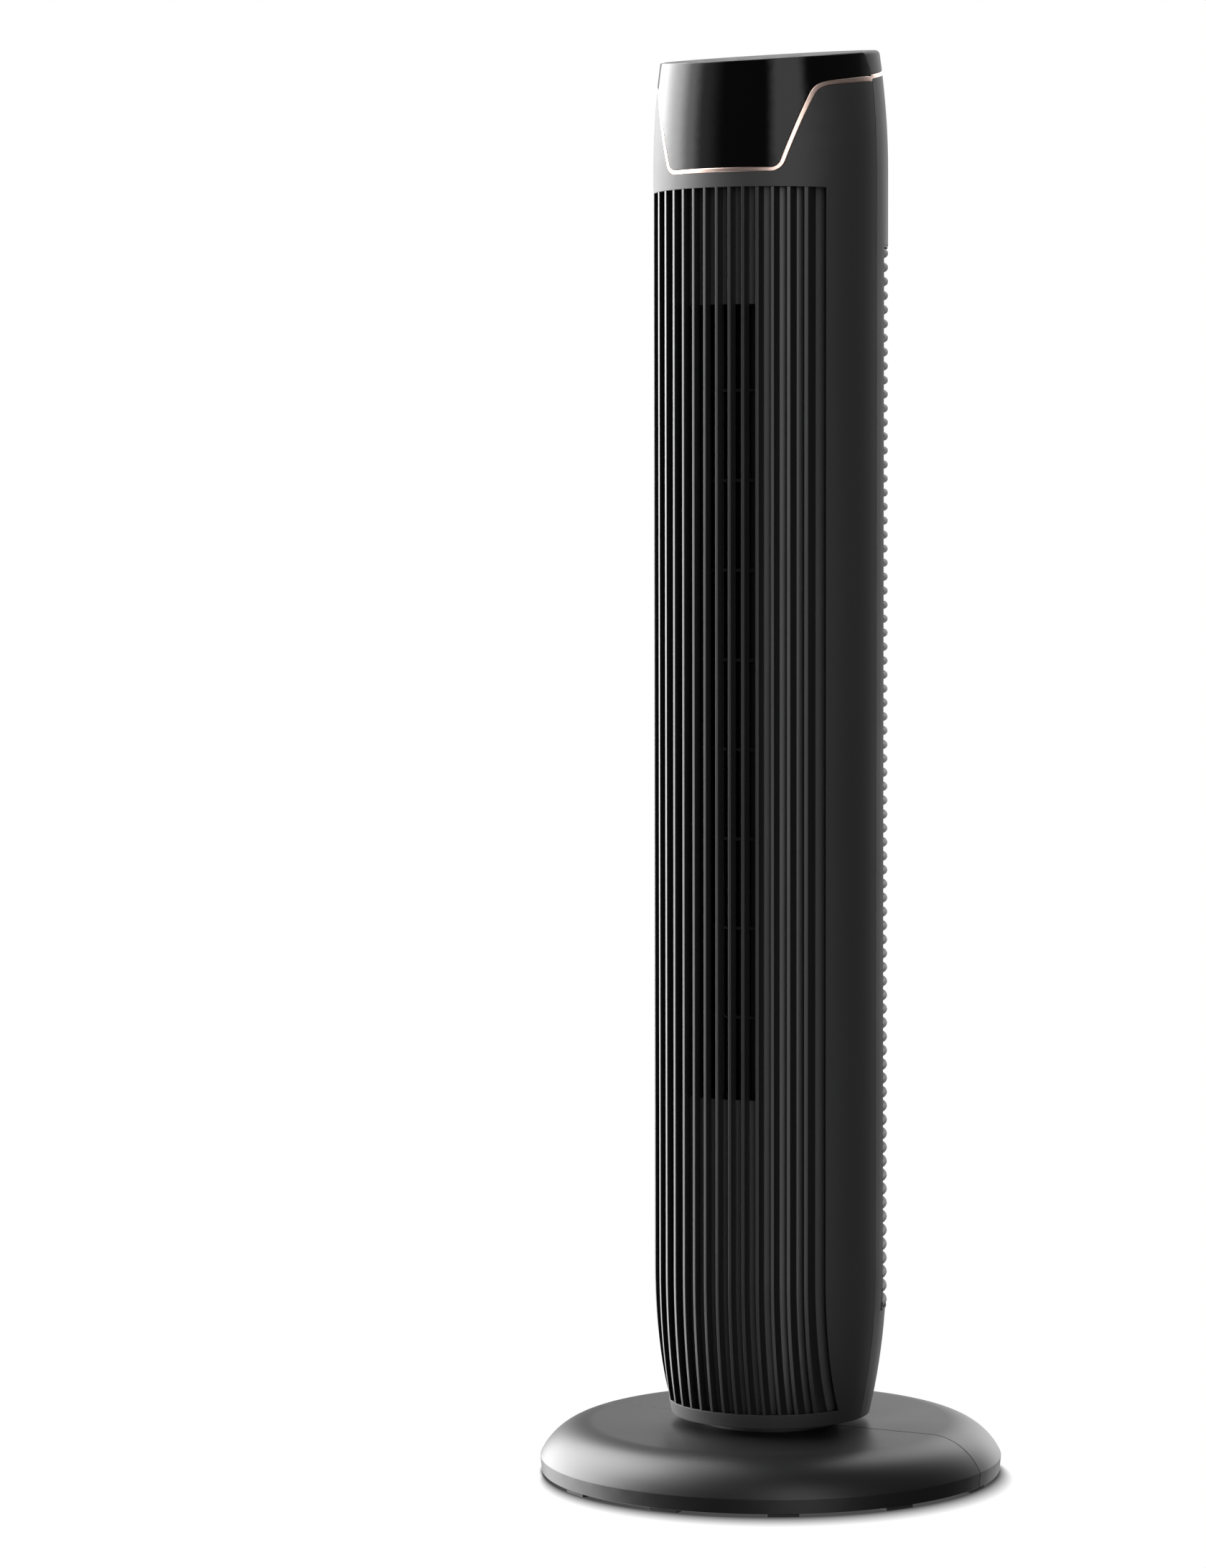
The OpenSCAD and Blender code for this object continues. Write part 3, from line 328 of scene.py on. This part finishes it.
# %% Finishes of the pieces that keep their shape
FINISHES = {
    deep_abs: ["turntable", "impeller"],
    rubber: ["motor_grommets", "impeller_hub"],
    gloss_acrylic: ["ir_receiver"],
    zinc_steel: ["base_screws", "retaining_ring", "housing_screws", "motor_mount",
                 "motor_upper_bell", "motor_lower_bell", "motor_screws", "bearing_holder",
                 "swing_motor", "swing_motor_screws", "tact_switches", "impeller_top_shaft",
                 "motor_shaft"],
    laminations: ["motor_stator", "motor_rotor"],
    copper_wire: ["motor_windings"],
    bronze: ["motor_bushes", "bearing_bush"],
    board: ["power_board", "control_board", "display_board", "terminal_block"],
    acetal: ["swivel_gear", "swivel_washer", "swing_pinion", "motor_capacitor", "led_modules"],
}
for material, names in FINISHES.items():
    for name in names:
        nodes[name].data.materials.clear()
        nodes[name].data.materials.append(material)
finished = {name for names in FINISHES.values() for name in names}
print(len(finished), "inner pieces have their finish")

# %% [markdown]
# ## Rounded edges on every moulding
#
# No moulded edge is truly sharp. A radius of a few tenths of a millimetre runs round every opening
# and along every joint, and it is what catches the light as a thin bright line. The frame has
# sharp edges, and its meshes are loose triangles, so each casing is copied and its triangles are
# merged: first the points that meet, then the triangles of each flat face, and last the pairs of
# triangles that make up a curve, because long thin triangles make a bevel uneven. Then the sharp
# outer edges are selected by the angle between their two faces and bevelled. A bevel modifier could
# do the same, but it would also round the ribs and bosses inside, where nobody sees them, so the
# edges are chosen by their place instead.

# %% A copy of a node, merged into one surface
TOUCHING = 0.004 * MM
FLAT = math.radians(0.03)
PAIR_BEND = math.radians(3)
PAIR_SHAPE = math.radians(120)


def merged_copy(node, name):
    """A new object with the node's shape as one closed surface, left in edit mode."""
    piece = bpy.data.objects.new(name, nodes[node].data.copy())
    bpy.context.scene.collection.objects.link(piece)
    bpy.ops.object.select_all(action="DESELECT")
    piece.select_set(True)
    bpy.context.view_layer.objects.active = piece
    bpy.ops.object.mode_set(mode="EDIT")
    bpy.ops.mesh.customdata_custom_splitnormals_clear()
    bpy.ops.mesh.select_all(action="SELECT")
    bpy.ops.mesh.remove_doubles(threshold=TOUCHING)
    bpy.ops.mesh.dissolve_limited(angle_limit=FLAT)
    bpy.ops.mesh.tris_convert_to_quads(face_threshold=PAIR_BEND, shape_threshold=PAIR_SHAPE)
    return piece


# %% Choose the outer faces
FACING = 0.6


def everywhere(face, point):
    return True


def facing_out(face, point):
    """True where a face looks away from the fan's axis."""
    out = Vector((point.x, point.y, 0)).normalized()
    return face.normal.dot(out) > FACING


def facing_out_or_up(face, point):
    return facing_out(face, point) or face.normal.z > FACING


# %% Round the sharp edges of those faces
SHARP = math.radians(24)


def round_edges(piece, radius_mm, segments=3, where=everywhere):
    """Bevels the sharp, convex edges that have a face for which where() is true."""
    bpy.ops.mesh.select_mode(type="EDGE")
    bpy.ops.mesh.select_all(action="DESELECT")
    mesh = bmesh.from_edit_mesh(piece.data)
    for edge in mesh.edges:
        if len(edge.link_faces) == 2 and edge.calc_face_angle_signed() > SHARP:
            middle = (edge.verts[0].co + edge.verts[1].co) / 2
            edge.select = any(where(face, middle) for face in edge.link_faces)
    bmesh.update_edit_mesh(piece.data)
    bpy.ops.mesh.bevel(offset=radius_mm * MM, segments=segments, affect="EDGES",
                       clamp_overlap=False)


# %% Smooth a piece, and hand it to the frame
SMOOTH = math.radians(40)


def finish_piece(piece, node, body, material):
    """Back to object mode, smooth, with its finish, riding on its body in place of the node."""
    bpy.ops.object.mode_set(mode="OBJECT")
    bpy.ops.object.shade_smooth_by_angle(angle=SMOOTH)
    bpy.ops.object.modifier_add(type="WEIGHTED_NORMAL")
    piece.modifiers[-1].keep_sharp = True
    bpy.ops.object.modifier_apply(modifier=piece.modifiers[-1].name)
    piece.data.materials.clear()
    piece.data.materials.append(material)
    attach(piece, body)
    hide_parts(node)
    print(piece.name, len(piece.data.polygons), "faces")


# %% [markdown]
# ## The base
#
# The base is two half shells that meet in a fine line across its flat top. The line runs through
# the middle and is only seen because both edges are rounded and a dark gap stays between them.
# Blocks of rubber under the rim keep the fan from sliding.

# %% Base shells, neck and feet
for node, name in (("base_front_half", "base_front_shell"), ("base_rear_half", "base_rear_shell")):
    shell = merged_copy(node, name)
    round_edges(shell, 0.35, where=facing_out_or_up)
    finish_piece(shell, node, "base", base_abs)

neck = merged_copy("pivot_base", "pivot_neck")
round_edges(neck, 0.6, where=facing_out_or_up)
finish_piece(neck, "pivot_base", "base", satin_abs)

feet = merged_copy("foot_pads", "rubber_feet")
round_edges(feet, 0.4)
finish_piece(feet, "foot_pads", "base", rubber)

# %% [markdown]
# ## The tower's casings
#
# The tower is a front and a rear housing. They meet in an upright seam down each side. The front
# one has the tall opening for the fins, the rear one the opening for the inlet bars.

# %% Front and rear housing
for node, name in (("front_housing", "tower_front_shell"), ("rear_housing", "tower_rear_shell")):
    shell = merged_copy(node, name)
    round_edges(shell, 0.3, where=facing_out)
    finish_piece(shell, node, "tower", satin_abs)

# %% [markdown]
# ## The outlet fins
#
# A row of upright fins stands in front of the opening. Each is only 2 mm thick, and its front is
# nearly flat between two small radii. So it takes up the light as the skin beside it does, and
# draws a bright line on the side where the light comes from and a dim one on the other.

# %% Fins and the wall behind them
fins = merged_copy("front_grille", "outlet_fins")
round_edges(fins, 0.25, where=facing_out)
finish_piece(fins, "front_grille", "tower", fin_abs)

duct = merged_copy("air_duct", "air_duct_wall")
round_edges(duct, 0.4, where=facing_out)
finish_piece(duct, "air_duct", "tower", painted_light_wall_abs)

# %% [markdown]
# ## The inlet bars
#
# The back of the tower is open between level bars with a half-round nose, in a thin frame, with
# three upright ribs that keep the bars apart.

# %% Bars, ribs and frame
bars = merged_copy("rear_grille", "inlet_bars")
round_edges(bars, 0.25, segments=2)
finish_piece(bars, "rear_grille", "tower", satin_abs)

# %% [markdown]
# ## The head
#
# The gloss lens fills the front of the head. A plated line runs round it and on round the back,
# and the satin top panel closes the tower. The plated line stands proud and has a domed section,
# so it catches light from above as well as from the sides: a wide bevel makes the dome.

# %% Trim line, lens and top panel
trim = merged_copy("head_trim", "plated_trim_line")
round_edges(trim, 0.7, segments=4, where=facing_out)
finish_piece(trim, "head_trim", "tower", rose_plating)

lens = merged_copy("display_lens", "front_lens")
round_edges(lens, 0.35, where=facing_out)
finish_piece(lens, "display_lens", "tower", gloss_acrylic)

panel = merged_copy("top_cap", "top_panel")
round_edges(panel, 0.4, where=facing_out_or_up)
finish_piece(panel, "top_cap", "tower", satin_abs)

# %% [markdown]
# ## The push buttons
#
# Each button has a shallow dish that guides the finger. Points that nearly touch can make an inset
# or a bevel run out into spikes, so points closer than 0.12 mm are merged first. Then its top is
# made one face and inset twice: the first inset leaves the rim, and the second one is pushed down
# to make the dish.

# %% Five push buttons with a dish
RIM_WIDTH = 1.2 * MM
DISH_SLOPE = 1.0 * MM
DISH_DEPTH = 0.25 * MM
SAME_HEIGHT = 0.2 * MM
CLOSE_POINTS = 0.12 * MM

for name in ("power", "speed", "mode", "timer", "swing"):
    button = merged_copy("button_" + name, "dished_button_" + name)
    bpy.ops.mesh.remove_doubles(threshold=CLOSE_POINTS)
    bpy.ops.mesh.dissolve_limited(angle_limit=math.radians(1))
    mesh = bmesh.from_edit_mesh(button.data)
    bpy.ops.mesh.select_mode(type="FACE")
    bpy.ops.mesh.select_all(action="DESELECT")
    upward = [face for face in mesh.faces if face.normal.z > 0.9]
    heights = [face.normal.dot(face.calc_center_median()) for face in upward]
    for face, height in zip(upward, heights):
        face.select = height > max(heights) - SAME_HEIGHT
    bmesh.update_edit_mesh(button.data)
    bpy.ops.mesh.dissolve_faces()
    bpy.ops.mesh.inset(thickness=RIM_WIDTH, depth=0)
    bpy.ops.mesh.inset(thickness=DISH_SLOPE, depth=-DISH_DEPTH)
    round_edges(button, 0.3, where=facing_out_or_up)
    finish_piece(button, "button_" + name, "button_" + name, gloss_acrylic)

# %% [markdown]
# ## The cord gland
#
# The power cord would leave through a rubber gland low down on the back. Its collar is rounded
# well over, as moulded rubber is.

# %% Rubber gland
gland = merged_copy("cord_gland", "rubber_gland")
round_edges(gland, 0.7)
finish_piece(gland, "cord_gland", "tower", rubber)

# %% [markdown]
# ## The studio
#
# Black plastic shows nothing but what it reflects, so the studio is built from what the fan should
# mirror. A large soft panel stands on the left of the picture, a white wall lies behind the fan, a
# narrow dim panel stands to the right of the camera, and the rest of the room is dark. These panels
# could be area lamps, but their edges would show as hard lines in the gloss of the head. They are
# drawn in the world instead, as a brightness for each compass direction with soft edges between.
# The camera itself sees plain white.

# %% Panels of light round the room
# Each stop is an azimuth in degrees and a brightness. Azimuth 0 is in front of the fan, and it
# grows towards the fan's left hand, which is on the right of the picture.
ROOM = [(-180, 3.1), (-168, 2.2), (-156, 1.0), (-147, 0.3), (-138, 0.5), (-122, 6.6), (-100, 9.6),
        (-78, 9.4), (-60, 4.2), (-44, 0.9), (-20, 0.1), (22, 0.1), (34, 2.2), (54, 2.2), (66, 0.1),
        (130, 0.1), (150, 0.3), (164, 1.2), (174, 3.1), (180, 3.1)]
BRIGHTEST = 9.6
print("the room has", len(ROOM), "stops of light")

# %% The compass bearing of each direction
world = bpy.data.worlds.new("white_studio")
bpy.context.scene.world = world
world.use_nodes = True
tree = world.node_tree
tree.nodes.clear()
direction = add_node(tree, "ShaderNodeSeparateXYZ", inputs={
    "Vector": add_node(tree, "ShaderNodeTexCoord").outputs["Generated"]})
back = add_node(tree, "ShaderNodeMath", {"operation": "MULTIPLY"}, {
    0: direction.outputs["Y"], 1: -1.0})
azimuth = add_node(tree, "ShaderNodeMath", {"operation": "ARCTAN2"}, {
    0: direction.outputs["X"], 1: back.outputs[0]})
turn = add_node(tree, "ShaderNodeMapRange", inputs={
    "Value": azimuth.outputs[0], "From Min": -math.pi, "From Max": math.pi})

# %% The brightness at each bearing
panels = add_node(tree, "ShaderNodeValToRGB", inputs={"Fac": turn.outputs[0]})
panels.color_ramp.interpolation = "EASE"
elements = panels.color_ramp.elements
while len(elements) < len(ROOM):
    elements.new(0.5)
for element, (place, brightness) in zip(elements, ROOM):
    element.position = (place + 180) / 360
    element.color = (brightness / BRIGHTEST,) * 3 + (1.0,)
print("the brightest panel has a strength of", BRIGHTEST)

# %% [markdown]
# The panels end above head height, so their brightness fades between 54 and 72 degrees up. The
# ceiling keeps a tenth of it. They also stand on a floor that is dimmer than they are, so their
# light falls by half from eye level to a dozen degrees below it, which darkens the fan's foot.

# %% The light by height
CEILING_STARTS, CEILING_FULL, CEILING_SHARE = 54, 72, 0.1
GROUND_FULL, GROUND_ENDS = -13, 5
GROUND_SHARE, EYE_LEVEL_SHARE = 0.42, 1.08

ceiling = add_node(tree, "ShaderNodeMapRange", {"interpolation_type": "SMOOTHSTEP"}, {
    "Value": direction.outputs["Z"], "From Min": math.sin(math.radians(CEILING_STARTS)),
    "From Max": math.sin(math.radians(CEILING_FULL)), "To Min": BRIGHTEST,
    "To Max": CEILING_SHARE * BRIGHTEST})
ground = add_node(tree, "ShaderNodeMapRange", {"interpolation_type": "SMOOTHSTEP"}, {
    "Value": direction.outputs["Z"], "From Min": math.sin(math.radians(GROUND_FULL)),
    "From Max": math.sin(math.radians(GROUND_ENDS)), "To Min": GROUND_SHARE,
    "To Max": EYE_LEVEL_SHARE})
height = add_node(tree, "ShaderNodeMath", {"operation": "MULTIPLY"}, {
    0: ceiling.outputs[0], 1: ground.outputs[0]})

# %% What the fan mirrors, and the white that the camera sees
lit = add_node(tree, "ShaderNodeBackground", inputs={
    "Color": panels.outputs["Color"], "Strength": height.outputs[0]})
seen = add_node(tree, "ShaderNodeBackground", inputs={"Color": (1, 1, 1, 1), "Strength": 1.0})
ray = add_node(tree, "ShaderNodeLightPath")
mixed = add_node(tree, "ShaderNodeMixShader", inputs={
    "Fac": ray.outputs["Is Camera Ray"], 1: lit.outputs[0], 2: seen.outputs[0]})
add_node(tree, "ShaderNodeOutputWorld", inputs={"Surface": mixed.outputs[0]})
bpy.context.scene.view_settings.view_transform = "Standard"

# %% [markdown]
# ## The floor
#
# The floor is pale and seamless, as a table of white acrylic lit from below: it merges with the
# white behind it. Only a soft contact shadow lies beside the base, and it is painted into the
# floor's glow, not cast. The light comes from behind and from the left, so the painted shadow lies
# on the near right side. Its width at any point of the rim follows the cosine of the angle to that
# direction, as for a disc that is moved a little that way. The fan isn't lit by the floor, only by
# the room.

# %% A disc of floor
FLOOR_RADIUS = 1.6

bpy.ops.object.select_all(action="DESELECT")
bpy.ops.mesh.primitive_circle_add(vertices=64, radius=FLOOR_RADIUS, fill_type="NGON",
                                  location=(0, 0, 0))
floor = bpy.context.object
floor.name = "floor"
floor.visible_diffuse = False
floor.visible_glossy = False
floor.visible_transmission = False
floor.visible_shadow = False
print("the floor is", 2 * FLOOR_RADIUS, "m wide")

# %% How wide the contact shadow is at each point
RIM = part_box("foot_pads")[1].x
SHADOW_AZIMUTH = math.radians(35)
SHADOW_REACH = 31 * MM
SHADOW_LEAST = 2.5 * MM

# The floor's glow is painted darker near the rim: a painted contact shadow, not a cast one.
floor_paint, tree, place = new_material("glowing_floor_with_painted_shadow")
distance = add_node(tree, "ShaderNodeVectorMath", {"operation": "LENGTH"}, {0: place})
past_rim = add_node(tree, "ShaderNodeMath", {"operation": "SUBTRACT"}, {
    0: distance.outputs["Value"], 1: RIM})
outward = add_node(tree, "ShaderNodeVectorMath", {"operation": "NORMALIZE"}, {0: place})
towards = add_node(tree, "ShaderNodeVectorMath", {"operation": "DOT_PRODUCT"}, {
    0: outward.outputs["Vector"], 1: (math.sin(SHADOW_AZIMUTH), -math.cos(SHADOW_AZIMUTH), 0)})
width = add_node(tree, "ShaderNodeMapRange", inputs={
    "Value": towards.outputs["Value"], "To Min": SHADOW_LEAST, "To Max": SHADOW_REACH})
print("the rim is at", round(RIM / MM, 1), "mm")

# %% Paint the floor
DARKEST = 0.07

share = add_node(tree, "ShaderNodeMath", {"operation": "DIVIDE"}, {
    0: past_rim.outputs[0], 1: width.outputs[0]})
light = add_node(tree, "ShaderNodeMapRange", inputs={
    "Value": share.outputs[0], "To Min": DARKEST, "To Max": 1.0})
glow = add_node(tree, "ShaderNodeEmission", inputs={
    "Color": (1, 1, 1, 1), "Strength": light.outputs[0]})
add_node(tree, "ShaderNodeOutputMaterial", inputs={"Surface": glow.outputs[0]})
floor.data.materials.append(floor_paint)
print("the floor's shadow reaches", round(SHADOW_REACH / MM), "mm")
